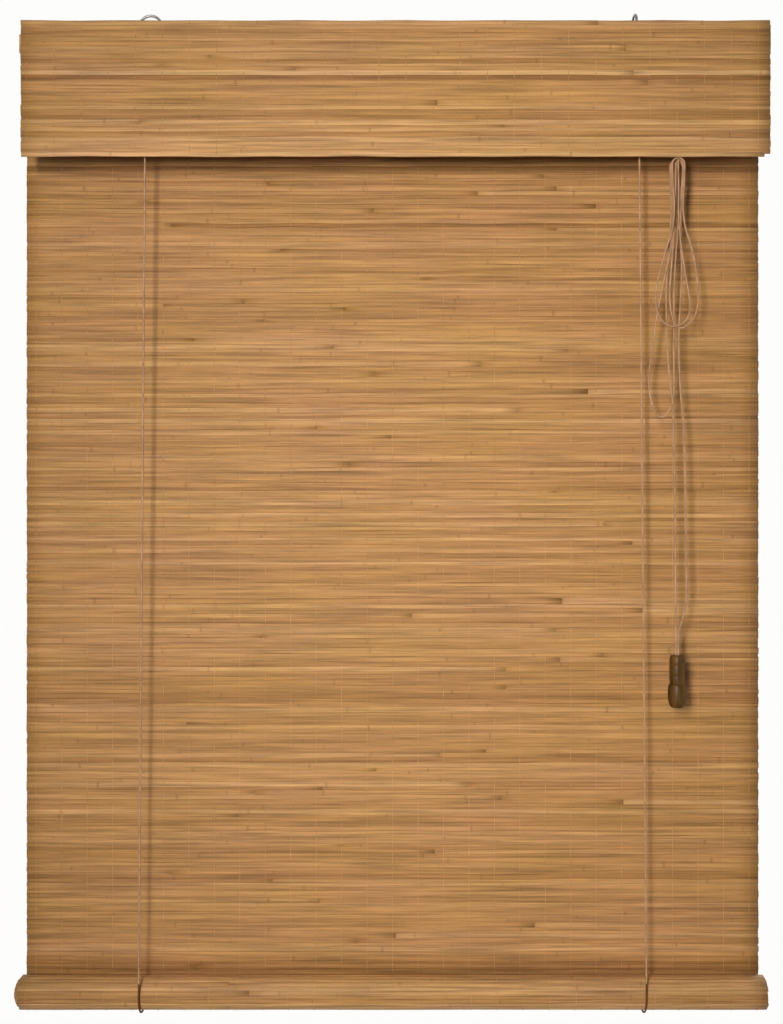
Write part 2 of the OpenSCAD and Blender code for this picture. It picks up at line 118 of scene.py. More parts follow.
class Shader:
    """A material with a Principled surface and short calls to add and link nodes."""

    def __init__(self, name, roughness, specular=0.3, metallic=0.0):
        self.material = bpy.data.materials.new(name)
        self.material.use_nodes = True
        self.tree = self.material.node_tree
        self.surface = self.tree.nodes["Principled BSDF"]
        self.surface.inputs["Roughness"].default_value = roughness
        self.surface.inputs["Specular IOR Level"].default_value = specular
        self.surface.inputs["Metallic"].default_value = metallic

    def add(self, kind, **values):
        node = self.tree.nodes.new(kind)
        for key, value in values.items():
            setattr(node, key, value)
        return node

    def link(self, source, target):
        self.tree.links.new(source, target)

    def attribute(self, name):
        return self.add("ShaderNodeAttribute", attribute_name=name).outputs["Fac"]

    def position(self, scale):
        """Object coordinates, stretched by scale."""
        place = self.add("ShaderNodeTexCoord").outputs["Object"]
        mapping = self.add("ShaderNodeMapping")
        mapping.inputs["Scale"].default_value = scale
        self.link(place, mapping.inputs["Vector"])
        return mapping.outputs["Vector"]

    def noise(self, vector, scale, detail=4, roughness=0.6, fourth=None):
        node = self.add("ShaderNodeTexNoise", noise_dimensions="4D" if fourth else "3D")
        node.inputs["Scale"].default_value = scale
        node.inputs["Detail"].default_value = detail
        node.inputs["Roughness"].default_value = roughness
        self.link(vector, node.inputs["Vector"])
        if fourth:
            self.link(fourth, node.inputs["W"])
        return node.outputs["Fac"]

    def ramp(self, factor, stops):
        node = self.add("ShaderNodeValToRGB")
        elements = node.color_ramp.elements
        while len(elements) < len(stops):
            elements.new(0.5)
        for element, (at, colour) in zip(elements, stops):
            element.position = at
            element.color = colour
        self.link(factor, node.inputs["Fac"])
        return node.outputs["Color"]

    def mix(self, factor, first, second, blend="MIX"):
        """Mixes two colours; each of factor, first and second is a socket or a value."""
        node = self.add("ShaderNodeMix", data_type="RGBA", blend_type=blend)
        for socket, value in ((MIX_FACTOR, factor), (MIX_A, first), (MIX_B, second)):
            if isinstance(value, bpy.types.NodeSocket):
                self.link(value, node.inputs[socket])
            else:
                node.inputs[socket].default_value = value
        return node.outputs[MIX_RESULT]

    def shade(self, colour, factor, stops):
        """Multiplies a colour by the greys of a ramp."""
        greys = self.ramp(factor, [(at, grey(value)) for at, value in stops])
        return self.mix(1.0, colour, greys, "MULTIPLY")

    def math(self, operation, first, second):
        node = self.add("ShaderNodeMath", operation=operation)
        for socket, value in ((0, first), (1, second)):
            if isinstance(value, bpy.types.NodeSocket):
                self.link(value, node.inputs[socket])
            else:
                node.inputs[socket].default_value = value
        return node.outputs[0]

    def colour(self, socket):
        self.link(socket, self.surface.inputs["Base Color"])

    def bump(self, height, strength, distance):
        node = self.add("ShaderNodeBump")
        node.inputs["Strength"].default_value = strength
        node.inputs["Distance"].default_value = distance
        self.link(height, node.inputs["Height"])
        self.link(node.outputs["Normal"], self.surface.inputs["Normal"])


def grey(value):
    return (value, value, value, 1)


def bamboo_material():
    """Split bamboo: a tone a stick, long fibres, painted shade along the edges for the gaps between sticks,
    rings at the culm's nodes.
    """
    m = Shader("bamboo", roughness=0.6, specular=0.2)
    seed = m.math("MULTIPLY", m.attribute("seed"), 50.0)
    tone = m.ramp(m.attribute("tone"), [(0.0, linear(150, 102, 54)), (0.5, linear(182, 132, 79)),
                                        (1.0, linear(208, 160, 108))])
    blotch = m.noise(m.position((11, 40, 40)), 1.0, 3, 0.6, seed)
    tone = m.shade(tone, blotch, [(0.3, 0.84), (0.7, 1.1)])
    streak = m.noise(m.position((9, 420, 420)), 1.0, 3, 0.55, seed)
    tone = m.shade(tone, streak, [(0.28, 0.58), (0.5, 1.0), (0.72, 1.3)])
    fibre = m.noise(m.position((22, 900, 900)), 1.0, 5, 0.65, seed)
    tone = m.shade(tone, fibre, [(0.25, 0.86), (0.75, 1.1)])
    breaks = m.noise(m.position((16, 30, 30)), 1.0, 3, 0.6, seed)
    breaks = m.ramp(breaks, [(0.35, grey(0)), (0.62, grey(1))])
    # Painted shade along the sticks' edges, for the shade in the gaps between them, broken up by noise
    gap_shade = m.math("MULTIPLY", m.attribute("gap_shade"), breaks)
    tone = m.mix(gap_shade, tone, linear(92, 55, 22))
    tone = m.mix(m.attribute("ring"), tone, linear(120, 76, 36))
    patch = m.noise(m.position((5, 5, 22)), 1.0, 3, 0.6)
    hue = m.ramp(patch, [(0.36, (0.99, 1.02, 0.89, 1)), (0.64, (1.0, 0.99, 1.05, 1))])
    tone = m.mix(1.0, tone, hue, "MULTIPLY")
    m.colour(tone)
    m.bump(fibre, 0.35, FINE_BUMP)
    return m.material


def thread_material():
    m = Shader("warp_thread", roughness=0.85, specular=0.1)
    fuzz = m.noise(m.position(EVEN), 60, 3)
    m.colour(m.ramp(fuzz, [(0.4, linear(188, 140, 88)), (0.65, linear(222, 176, 124))]))
    return m.material


def cord_material():
    """Twisted cotton, with painted shade in the hollows between its plies, and painted dark where it holds
    the roll, for the shade there.
    """
    m = Shader("cord", roughness=0.8, specular=0.1)
    fuzz = m.noise(m.position(EVEN), 700, 3)
    tone = m.ramp(fuzz, [(0.3, linear(196, 152, 114)), (0.7, linear(228, 184, 144))])
    wear = m.noise(m.position(EVEN), 70, 2)
    tone = m.shade(tone, wear, [(0.38, 0.76), (0.62, 1.06)])
    # Painted shade: the cord turns dark where it wraps the roll, for the shade there
    tone = m.mix(m.attribute("roll_shade"), tone, linear(104, 60, 26))
    # Painted shade in the hollows between the plies
    m.colour(m.mix(m.attribute("hollow"), tone, linear(112, 70, 44)))
    m.bump(fuzz, 0.3, FINE_BUMP)
    return m.material


def plank_material(name, pale, dark, roughness, specular):
    """Planed wood with its grain along X."""
    m = Shader(name, roughness=roughness, specular=specular)
    grain = m.noise(m.position((3, 70, 70)), 1.0, 6, 0.6)
    pores = m.noise(m.position((30, 900, 900)), 1.0, 3)
    tone = m.ramp(grain, [(0.3, dark), (0.7, pale)])
    m.colour(m.shade(tone, pores, [(0.35, 0.82), (0.6, 1.04)]))
    m.bump(pores, 0.25, FINE_BUMP)
    return m.material


def turned_material():
    """Dark stained wood with a satin coat, grain along Z."""
    m = Shader("dark_wood", roughness=0.36, specular=0.17)
    grain = m.noise(m.position((260, 260, 22)), 1.0, 5)
    m.colour(m.ramp(grain, [(0.3, linear(42, 24, 3)), (0.7, linear(102, 68, 18))]))
    m.bump(grain, 0.2, FINE_BUMP)
    return m.material


def metal_material(name, pale, dark, roughness):
    m = Shader(name, roughness=roughness, metallic=1.0)
    stain = m.noise(m.position(EVEN), 300, 4)
    m.colour(m.ramp(stain, [(0.3, dark), (0.7, pale)]))
    m.bump(stain, 0.15, STAIN_BUMP)
    return m.material


BAMBOO = bamboo_material()
THREAD = thread_material()
CORD = cord_material()
PINE = plank_material("pine", linear(206, 168, 118), linear(168, 126, 80), 0.6, 0.25)
DARK_WOOD = turned_material()
STEEL = metal_material("zinc_steel", linear(140, 138, 132), linear(96, 94, 90), 0.38)
BRONZE = metal_material("bronze", linear(176, 124, 70), linear(120, 80, 40), 0.5)
BRASS = metal_material("brass", linear(206, 170, 98), linear(150, 116, 58), 0.35)


# Meshes

def mesh_piece(name, points, faces, material, values=()):
    """A smooth mesh object; values are (attribute name, one number a point)."""
    mesh = bpy.data.meshes.new(name)
    mesh.from_pydata(points, [], faces)
    for key, numbers in values:
        mesh.attributes.new(key, "FLOAT", "POINT").data.foreach_set("value", numbers)
    mesh.shade_smooth()
    mesh.materials.append(material)
    piece = bpy.data.objects.new(name, mesh)
    bpy.context.collection.objects.link(piece)
    return piece


def tube_faces(first, rings, sides):
    """Faces of a closed tube of rings, whose points start at index first."""
    faces = []
    for i in range(rings - 1):
        for k in range(sides):
            a = first + i * sides + k
            b = first + i * sides + (k + 1) % sides
            faces.append((a, b, b + sides, a + sides))
    faces.append(tuple(first + k for k in reversed(range(sides))))
    faces.append(tuple(first + (rings - 1) * sides + k for k in range(sides)))
    return faces


# Cords

CORD_D = 2.4 * MM
CORD_STEP = 1.5 * MM
CORD_SIDES = 10
PLIES = 3
PLY_DEPTH = 0.16
LAY_LENGTH = 9 * MM
BEND_STEPS = 12


def curve_through(points, per_span=10):
    """A smooth path through given points (centripetal Catmull-Rom)."""
    points = [Vector(p) for p in points]
    ends = [2 * points[0] - points[1]] + points + [2 * points[-1] - points[-2]]
    path = []
    for p0, p1, p2, p3 in zip(ends, ends[1:], ends[2:], ends[3:]):
        t0 = 0
        t1 = t0 + (p1 - p0).length ** 0.5
        t2 = t1 + (p2 - p1).length ** 0.5
        t3 = t2 + (p3 - p2).length ** 0.5
        for i in range(per_span):
            t = t1 + (t2 - t1) * i / per_span
            a1 = p0.lerp(p1, (t - t0) / (t1 - t0))
            a2 = p1.lerp(p2, (t - t1) / (t2 - t1))
            a3 = p2.lerp(p3, (t - t2) / (t3 - t2))
            b1 = a1.lerp(a2, (t - t0) / (t2 - t0))
            b2 = a2.lerp(a3, (t - t1) / (t3 - t1))
            path.append(b1.lerp(b2, (t - t1) / (t2 - t1)))
    return path + [points[-1]]


def even_path(path, step):
    """The path in equal steps, and its length."""
    path = [Vector(p) for p in path]
    along = [0.0]
    for p, q in zip(path, path[1:]):
        along.append(along[-1] + (q - p).length)
    count = max(2, round(along[-1] / step))
    even = []
    span = 0
    for i in range(count + 1):
        at = along[-1] * i / count
        while span < len(path) - 2 and along[span + 1] < at:
            span += 1
        share = (at - along[span]) / max(along[span + 1] - along[span], 1e-9)
        even.append(path[span].lerp(path[span + 1], min(share, 1)))
    return even, along[-1]


def cord_piece(name, route, roll_shade_below=None):
    """A twisted cord along a route: a round section with a groove between each two plies."""
    path, length = even_path(route, CORD_STEP)
    points, ply_shades, roll_shade = [], [], []
    side = (path[1] - path[0]).orthogonal().normalized()
    for i, at in enumerate(path):
        heading = (path[min(i + 1, len(path) - 1)] - path[max(i - 1, 0)]).normalized()
        side = (side - heading * side.dot(heading)).normalized()
        up = heading.cross(side)
        twist = 2 * math.pi * i * CORD_STEP / LAY_LENGTH
        for k in range(CORD_SIDES):
            angle = 2 * math.pi * k / CORD_SIDES
            hollow = 0.5 - 0.5 * math.cos(PLIES * (angle - twist))
            r = CORD_D / 2 * (1 - PLY_DEPTH * hollow)
            points.append(at + r * (math.cos(angle) * side + math.sin(angle) * up))
            # The hollow's share, cubed, is the painted shade there
            ply_shades.append(hollow ** 3)
            # Painted shade below the given height
            roll_shade.append(1.0 if roll_shade_below and at.z < roll_shade_below else 0.0)
    faces = tube_faces(0, len(path), CORD_SIDES)
    piece = mesh_piece(name, points, faces, CORD, [("hollow", ply_shades), ("roll_shade", roll_shade)])
    return piece, path, length


# Pull cords. Points in mm: across and in depth from the line of the pull cord, and height.
HANK_FOLD_R = 7.4
HANK_FOLD_X = 0.4
HANK_TOP = -165.5


def fold(depth):
    """The bend at the top of the hank, from left to right."""
    middle = HANK_TOP - HANK_FOLD_R
    turn = [math.pi * i / BEND_STEPS for i in range(BEND_STEPS + 1)]
    return [(HANK_FOLD_X - HANK_FOLD_R * math.cos(a), depth, middle + HANK_FOLD_R * math.sin(a))
            for a in turn]


FRONT_CORD = (
    [(0, -2.6, 1000 * wheel_z), (0, -2.6, -80), (0, -2.5, -120), (0.5, -2.45, -160), (1.2, -2.45, -200),
     (1.4, -2.45, -235), (3.5, -2.45, -262), (8, -2.45, -295), (12.6, -2.45, -322), (14.6, -2.5, -340),
     (12.5, -2.8, -352), (6, -3.3, -360.5), (-2.5, -3.9, -364), (-11, -4.6, -363.5), (-18.5, -4.9, -358),
     (-24, -4.9, -348), (-26.6, -4.9, -334), (-25.5, -4.9, -318), (-21.5, -4.9, -300), (-15, -4.9, -276),
     (-7.5, -4.9, -252), (-4.6, -4.9, -232), (-5, -4.9, -210), (-6.4, -4.9, -190)]
    + fold(-4.9)
    + [(7.2, -4.9, -190), (6.2, -4.9, -210), (6.2, -4.9, -230), (8.8, -4.9, -248), (14.2, -4.9, -266),
       (18.8, -4.9, -284), (22, -4.9, -304), (23.8, -4.8, -326), (22.8, -4.4, -342), (18.5, -3.6, -355),
       (11, -1.8, -363), (4, -0.7, -365.5), (-2, -0.2, -361), (-6.2, 0, -350), (-8.3, 0, -335),
       (-8.4, 0, -318), (-6.8, 0, -296), (-5, 0, -272), (-3.8, 0, -250), (-3.6, 0, -232), (-4.6, 0, -210),
       (-6.4, 0, -190)]
    + fold(0)
    + [(7.2, 0, -190), (5.6, 0, -212), (4.2, 0, -235), (4.4, 0, -262), (5.4, 0, -290), (5, 0.4, -318),
       (4, 1.2, -340), (3, 2, -360), (2.5, 2, -385), (3, 1.4, -410), (5, 0.7, -450), (8, 0, -485),
       (9, 0, -520), (10, 0, -560), (10.5, 0, -620), (11.5, 0, -665), (11, 0, -690), (7, 0, -708),
       (3, 0, -722), (1.5, 0, -738), (1.3, 0, -753), (1.3, 0, -802)])
BACK_CORD = (
    [(0, 2.6, 1000 * wheel_z), (0, 2.6, -80), (0, 2.5, -120), (-0.6, 2.45, -160), (-1.2, 2.45, -200),
     (-1.8, 2.45, -235), (-5.5, 2.45, -265), (-12, 2.45, -295), (-18.5, 2.45, -326), (-24, 2.5, -355),
     (-28, 2.6, -385), (-32, 2.6, -412), (-33, 2.6, -430), (-31, 2.6, -448), (-27, 2.6, -461),
     (-21, 2.6, -470), (-15, 2.6, -470), (-9, 2.6, -463), (-5, 2.6, -452), (-3, 2.8, -436),
     (-3, 3.2, -412), (-3, 3.8, -385), (-2.6, 4.6, -355), (-2.6, 4.9, -326), (-1, 4.9, -290),
     (1.5, 4.9, -255), (3.8, 4.9, -225), (7.2, 4.9, -190)]
    + fold(4.9)[::-1]
    + [(-6.4, 4.9, -190), (-5.6, 4.9, -225), (-7.4, 4.9, -255), (-10.2, 4.9, -290), (-12, 4.2, -326),
       (-12, 2.6, -355), (-12, 1.2, -378), (-10.5, 0, -405), (-8.5, 0, -428), (-6, 0, -446),
       (-4.5, 0, -465), (-4, 0, -500), (-3, 0, -540), (-2, 0, -600), (-2, 0, -660), (-1.6, 0, -710),
       (-1.3, 0, -740), (-1.3, 0, -753), (-1.3, 0, -802)])


def pull_cord(name, offsets, replaced):
    """One of the two pull cords, from the lock through its hank to the knot in the tassel."""
    route = curve_through([(pull_x + x * MM, pull_y + y * MM, z * MM) for x, y, z in offsets])
    piece, path, length = cord_piece(name, route)
    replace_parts(piece, *replaced)
    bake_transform(piece)
    return piece, path, length


front_pull, front_path, front_length = pull_cord("pull_cord_front", FRONT_CORD,
                                                 ["pull_cord_leads", "pull_cord_hank", "pull_cord_tails"])
back_pull, back_path, back_length = pull_cord("pull_cord_back", BACK_CORD, ["pull_cord_loop"])


# Lift cords: a run under the rail, a front strand, a sling round the roll and a back strand
RUN_R = 8.5 * MM
SLING_GAP = 0.3 * MM
SLING_STEPS = 24
# Middle of the back strand, from the back of its anchor
ANCHOR_INSET = 5 * MM
# Height above the roll's middle from which a front strand is painted dark, for the shade where it lies
# against the roll, as a share of the roll's radius
ROLL_SHADE_FROM = 0.9
sling_r = roll_r + SLING_GAP + CORD_D / 2


def quarter(centre, y, start, end):
    """Bend over a wheel in the XZ plane, between two angles in degrees."""
    return [Vector((centre[0] + RUN_R * math.cos(a), y, centre[1] + RUN_R * math.sin(a)))
            for a in (math.radians(start + (end - start) * i / BEND_STEPS) for i in range(BEND_STEPS + 1))]


def squash_to_top(piece):
    """Gives the piece a mesh of its own."""
    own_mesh(piece)


def lift_cord(side, wheel_node, anchor_node):
    """The four lengths of one lift cord, from the lock to its anchor behind the mat."""
    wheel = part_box(wheel_node)
    centre = [(wheel[0][k] + wheel[1][k]) / 2 for k in range(3)]
    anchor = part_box(anchor_node)
    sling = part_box(f"{side}_cord_sling")
    low_x = (sling[0][0] + sling[1][0]) / 2
    anchor_y = anchor[1][1] - ANCHOR_INSET
    lock_x = (wheel_low[0] + wheel_high[0]) / 2

    run, _, _ = cord_piece(f"{side}_cord_run_twist", quarter((centre[0], centre[2]), centre[1], 180, 90)
                           + quarter((lock_x, wheel_z), centre[1], 90, 0))
    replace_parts(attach(run, "head_assembly"), f"{side}_cord_run")

    foot = Vector((low_x, roll_y - sling_r, roll_z))
    head = Vector((centre[0] - RUN_R, centre[1], wheel_z))
    strand, _, _ = cord_piece(f"{side}_cord_front_twist", [head, foot],
                              roll_shade_below=roll_z + ROLL_SHADE_FROM * roll_r)
    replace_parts(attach(strand, "head_assembly"), f"{side}_cord_front")
    squash_to_top(strand)

    foot = Vector((low_x, roll_y + sling_r, roll_z))
    head = Vector((low_x, anchor_y, anchor[0][2]))
    strand, _, _ = cord_piece(f"{side}_cord_back_twist", [head, foot])
    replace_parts(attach(strand, "head_assembly"), f"{side}_cord_back")
    squash_to_top(strand)

    half_turn = [math.pi * (1 + i / SLING_STEPS) for i in range(SLING_STEPS + 1)]
    loop, _, _ = cord_piece(f"{side}_cord_sling_twist",
                            [(low_x, roll_y + sling_r * math.cos(a), roll_z + sling_r * math.sin(a))
                             for a in half_turn], roll_shade_below=roll_z + roll_r)
    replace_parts(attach(loop, "slings"), f"{side}_cord_sling")


lift_cord("left", "left_pulley_wheel", "left_cord_anchor")
lift_cord("right", "right_pulley_wheel", "right_cord_anchor")


# Sticks

STICK_PITCH = 5 * MM
RING_STEP = 25 * MM
THREAD_SPACING = 31.7 * MM
THREAD_INSET = 12 * MM
# Section of a stick as shares of its half thickness and half height, with the share of the painted shade
# along its edges, which stands for the shade in the gaps between sticks
SECTION = [(-0.95, -0.45, 0), (-0.95, 0.45, 0), (-0.72, 0.8, 0.25), (-0.1, 1.0, 1), (0.7, 0.8, 0.25),
           (0.95, 0.0, 0), (0.7, -0.8, 0.25), (-0.1, -1.0, 1), (-0.72, -0.8, 0.25)]


class Sticks:
    """Many split sticks in one mesh, each with its own tone, bend, joints and nodes."""

    # Height of a row as a share of the pitch
    ROW_SHARE = (0.62, 1.38)
    # Share of the rows that are made of two sticks, and where these meet
    SPLIT_ODDS = 0.25
    SPLIT_AT = (0.15, 0.85)
    TONE_SPREAD = 0.13
    # Nodes of the culm: place of the first, steps, room at the end (m), darkness, half width (mm), swelling
    NODE_FIRST = (0.02, 0.3)
    NODE_STEP = (0.22, 0.4)
    NODE_END = 0.01
    NODE_DARK = (0.05, 0.5)
    NODE_HALF = 2.5
    NODE_SWELL = 1.06
    RING_DIGITS = 5
    # What a stick gains in half height (mm), keeps of its half thickness, and its tilt (rad)
    OVERLAP = (0.7, 1.0)
    THICKNESS = (0.72, 0.88)
    TILT = 0.06
    # Waves along a stick, up and outward: height (mm) and rate (rad/m)
    RISE = ((0.14, 0.4), (14, 62))
    BOW = ((0.04, 0.11), (8, 40))
    WAVES = 2
    PHASE = (0, 6.28)

    def __init__(self, seed):
        self.draw = random.Random(seed)
        self.points, self.faces = [], []
        self.values = {"tone": [], "seed": [], "ring": [], "gap_shade": []}

    def heights(self, total):
        """Heights of rows, irregular about the pitch, that fill the total."""
        rows = [self.draw.uniform(*self.ROW_SHARE) for _ in range(round(total / STICK_PITCH))]
        return [total * row / sum(rows) for row in rows]

    def row(self, place, x0, x1, half_h, half_t, tone=None, mean=0.5):
        """One row across the mat, as one stick or as two that meet end to end."""
        cuts = [x0, x1]
        if self.draw.random() < self.SPLIT_ODDS:
            cuts.insert(1, x0 + (x1 - x0) * self.draw.uniform(*self.SPLIT_AT))
        for left, right in zip(cuts, cuts[1:]):
            self.stick(place, left, right, half_h, half_t,
                       min(max(self.draw.gauss(mean, self.TONE_SPREAD), 0), 1) if tone is None else tone)

    def rings(self, x0, x1):
        """Sections along a stick: x, swelling and darkness, with a narrow ring at each node of the culm."""
        draw = self.draw
        count = max(2, round((x1 - x0) / RING_STEP))
        plain = (1.0, 0.0)
        rings = {round(x0 + (x1 - x0) * i / count, self.RING_DIGITS): plain for i in range(count + 1)}
        at = x0 + draw.uniform(*self.NODE_FIRST)
        while at < x1 - self.NODE_END:
            node = (self.NODE_SWELL, draw.uniform(*self.NODE_DARK))
            for offset, ring in ((-self.NODE_HALF, plain), (0, node), (self.NODE_HALF, plain)):
                rings[round(at + offset * MM, self.RING_DIGITS)] = ring
            at += draw.uniform(*self.NODE_STEP)
        return [(x, *rings[x]) for x in sorted(rings)]

    def waves(self, height, rate):
        """Waves along a stick, each as its height, rate and phase."""
        draw = self.draw
        return [(draw.uniform(*height) * MM, draw.uniform(*rate), draw.uniform(*self.PHASE))
                for _ in range(self.WAVES)]

    def stick(self, place, x0, x1, half_h, half_t, tone):
        """place turns an offset in height and depth from the stick's middle into Y and Z."""
        draw = self.draw
        seed = draw.random()
        half_h += draw.uniform(*self.OVERLAP) * MM
        half_t *= draw.uniform(*self.THICKNESS)
        tilt = draw.gauss(0, self.TILT)
        # Strength of the painted edge shade, for the lower and the upper edge
        gap_shades = [draw.random() for _ in range(2)]
        rise = self.waves(*self.RISE)
        bow = self.waves(*self.BOW)
        rings = self.rings(x0, x1)
        first = len(self.points)
        for x, swell, mark in rings:
            dz = sum(a * math.sin(f * x + p) for a, f, p in rise)
            dy = sum(a * math.sin(f * x + p) for a, f, p in bow)
            for depth, height, edge in SECTION:
                h = height * half_h * swell
                d = depth * half_t * swell + h * math.sin(tilt)
                self.points.append((x, *place(h + dz, d + dy)))
                for key, value in (("tone", tone), ("seed", seed), ("ring", mark),
                                   ("gap_shade", edge * gap_shades[height > 0])):
                    self.values[key].append(value)
        self.faces += tube_faces(first, len(rings), len(SECTION))

    def piece(self, name):
        piece = mesh_piece(name, self.points, self.faces, BAMBOO, self.values.items())
        return piece


class Threads:
    """Warp threads, each a thin strand that rides over the sticks and dips between them."""

    SIDES = 3
    RADIUS = 0.28 * MM
    # Sway to the sides, as a share of the radius
    SWAY = 0.6

    def __init__(self):
        self.points, self.faces = [], []

    def strand(self, x, line):
        """line gives, from end to end, points (y, z) and the outward direction there."""
        first = len(self.points)
        for i, (y, z, out_y, out_z) in enumerate(line):
            shift = self.RADIUS * (self.SWAY if i % 2 else -self.SWAY)
            for k in range(self.SIDES):
                # A quarter turn on, so that one corner points outward
                angle = 2 * math.pi * (k / self.SIDES + 0.25)
                dx, d = self.RADIUS * math.cos(angle) + shift, self.RADIUS * math.sin(angle)
                self.points.append((x + dx, y + d * out_y, z + d * out_z))
        self.faces += tube_faces(first, len(line), self.SIDES)

    def piece(self, name):
        piece = mesh_piece(name, self.points, self.faces, THREAD)
        return piece


def columns(width):
    """X of each warp thread across a mat of that width."""
    count = round((width - 2 * THREAD_INSET) / THREAD_SPACING)
    return [(i / count - 0.5) * (width - 2 * THREAD_INSET) for i in range(count + 1)]


# Flat mats: how far a stick may stop short (mm), how deep the threads lie in the sheet and dip between sticks
END_SPREAD = 0.9
THREAD_SINK = 0.12 * MM
THREAD_DIP = 0.2 * MM


def flat_mat(name, low, high, seed, tones, insets=(0.0, 0.0), foot_short=0.0):
    """Sticks and threads of a flat mat that fills the box from low to high, with its ends set in.

    tones gives some rows a tone of their own, and the lowest row stops short at the right.
    """
    middle = (low[1] + high[1]) / 2
    half_t = (high[1] - low[1]) / 2
    sticks = Sticks(seed)
    draw = sticks.draw
    edges = [high[2]]
    heights = sticks.heights(high[2] - low[2])
    for i, height in enumerate(heights):
        z0 = edges[-1] - height / 2
        ends = [draw.uniform(0, END_SPREAD) * MM for _ in range(2)]
        x0 = low[0] + insets[0] + ends[0]
        x1 = high[0] - insets[1] - ends[1]
        if i == len(heights) - 1:
            x1 -= foot_short
        sticks.row(lambda h, d: (middle + d, z0 + h), x0, x1, height / 2, half_t, tones.get(i))
        edges.append(edges[-1] - height)
    threads = Threads()
    for face in (-1, 1):
        out = half_t - THREAD_SINK
        for x in columns(high[0] - low[0]):
            line = []
            for upper, lower in zip(edges, edges[1:]):
                line.append((middle + face * (out - THREAD_DIP), upper, face, 0))
                line.append((middle + face * out, (upper + lower) / 2, face, 0))
            threads.strand(x, line)
    return sticks.piece(f"{name}_sticks"), threads.piece(f"{name}_threads")


# Rows with a tone of their own, from 0 for dark to 1 for pale: the rows just above the roll, painted dark as
# the shade in the crevice behind its top
MAT_FOOT_SHADE = {222: 0.3, 223: 0.05, 224: 0.15, 225: 0.35}
mat_sticks, mat_threads = flat_mat("hanging_mat", mat_low, mat_high, seed=4, tones=MAT_FOOT_SHADE)
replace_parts(mat_sticks, "hanging_mat")
for piece in (mat_sticks, mat_threads):
    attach(piece, "head_assembly")
    squash_to_top(piece)

# Valance rows with a tone of their own: row 13 is a painted shadow line across the valance, and the lowest
# row is painted pale as a highlight along its bottom edge
VALANCE_TONES_LIGHT_AND_SHADE = {0: 0.7, 12: 1.0, 13: 0.0, 23: 0.8, 25: 0.7, 27: 0.8, 29: 0.7, 31: 0.95}
VALANCE_INSETS = (4.5 * MM, -2.5 * MM)
VALANCE_FOOT_SHORT = 7 * MM
valance_sticks, valance_threads = flat_mat("valance", valance_low, valance_high, seed=9, tones=VALANCE_TONES_LIGHT_AND_SHADE,
                                           insets=VALANCE_INSETS, foot_short=VALANCE_FOOT_SHORT)
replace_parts(valance_sticks, "valance")
for piece in (valance_sticks, valance_threads):
    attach(piece, "head_assembly")


# Roll: the same sticks along a spiral that starts at the mat's foot and winds down and forward
TURN_GAP = 0.3 * MM
# The turns have slid to the left, the inner ones most
LEFT_SLIDE = (3.0 * MM, -5.0 * MM)
RIGHT_SLIDE = (-0.5 * MM, -6.0 * MM)
# Rows painted pale along the roll's upper and lower edges, for the light that falls on them, and darker ones
# between
ROLL_LIGHT_TONES = {8: 0.95, 9: 0.9, 11: 0.45, 12: 0.45, 18: 0.95, 19: 1.0, 20: 0.95}
ROLL_TONE = 0.68
ROLL_SEED = 21
ROLL_END_SPREAD = 1.2
ROLL_STICK_TRIM = 0.3 * MM
# Threads show on the outer turn alone, and stand out a little over its sticks
ROLL_THREAD_ROWS = range(1, 23)
ROLL_THREAD_DIP = 0.45 * MM
ROLL_THREAD_OUT = 0.05 * MM


def wound(along):
    """Radius and angle of the strip's middle at a length from its outer end."""
    outer = roll_r - mat_t / 2
    per_radian = (mat_t + TURN_GAP) / (2 * math.pi)
    radius = math.sqrt(max(outer ** 2 - 2 * per_radian * along, 0))
    return radius, -(outer - radius) / per_radian


def roll_place(along):
    """A place function, as Sticks.stick takes, for a stick at a length from the strip's outer end."""
    radius, angle = wound(along)
    c, s = math.cos(angle), math.sin(angle)

    def place(height, depth):
        r = radius + depth
        return roll_y + r * c - height * s, roll_z + r * s + height * c
    return place


def rolled_mat():
    """Sticks and threads of the roll."""
    outer = roll_r - mat_t / 2
    inner = bar_r + TURN_GAP + mat_t / 2
    length = (outer ** 2 - inner ** 2) * math.pi / (mat_t + TURN_GAP)
    count = int(length / STICK_PITCH)
    sticks = Sticks(ROLL_SEED)
    draw = sticks.draw
    for i in range(count):
        ends = [draw.uniform(0.0, ROLL_END_SPREAD) * MM for _ in range(2)]
        inward = i / count
        x0 = roll_low[0] + LEFT_SLIDE[0] + inward * (LEFT_SLIDE[1] - LEFT_SLIDE[0]) + ends[0]
        x1 = roll_high[0] + RIGHT_SLIDE[0] + inward * (RIGHT_SLIDE[1] - RIGHT_SLIDE[0]) - ends[1]
        sticks.row(roll_place((i + 0.5) * STICK_PITCH), x0, x1, STICK_PITCH / 2 - ROLL_STICK_TRIM, mat_t / 2,
                   ROLL_LIGHT_TONES.get(i), mean=ROLL_TONE)
    threads = Threads()
    for x in columns(roll_high[0] - roll_low[0]):
        line = []
        for i in ROLL_THREAD_ROWS:
            for share, depth in ((0, mat_t / 2 - ROLL_THREAD_DIP), (0.5, mat_t / 2 + ROLL_THREAD_OUT)):
                along = (i + share) * STICK_PITCH
                angle = wound(along)[1]
                y, z = roll_place(along)(0, depth)
                line.append((y, z, math.cos(angle), math.sin(angle)))
        threads.strand(x, line)
    return sticks.piece("rolled_mat_sticks"), threads.piece("rolled_mat_threads")


roll_sticks, roll_threads = rolled_mat()
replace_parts(roll_sticks, "rolled_mat")
for piece in (roll_sticks, roll_threads):
    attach(piece, "roll")


# Tassel: a turned grip with two grooves, a neck and a bulb. Sizes in mm.
LATHE_SEGMENTS = 64
GRIP_IN, LIP_IN, NECK_IN = 1.8, 2.8, 2.5
NECK_UP, BULB_UP = 28.5, 16
BORE_R, CUP_R, CUP_H, FOOT_R = 2.9, 5.2, 13, 6.2
GROOVES_AT = (10.5, 23.5)
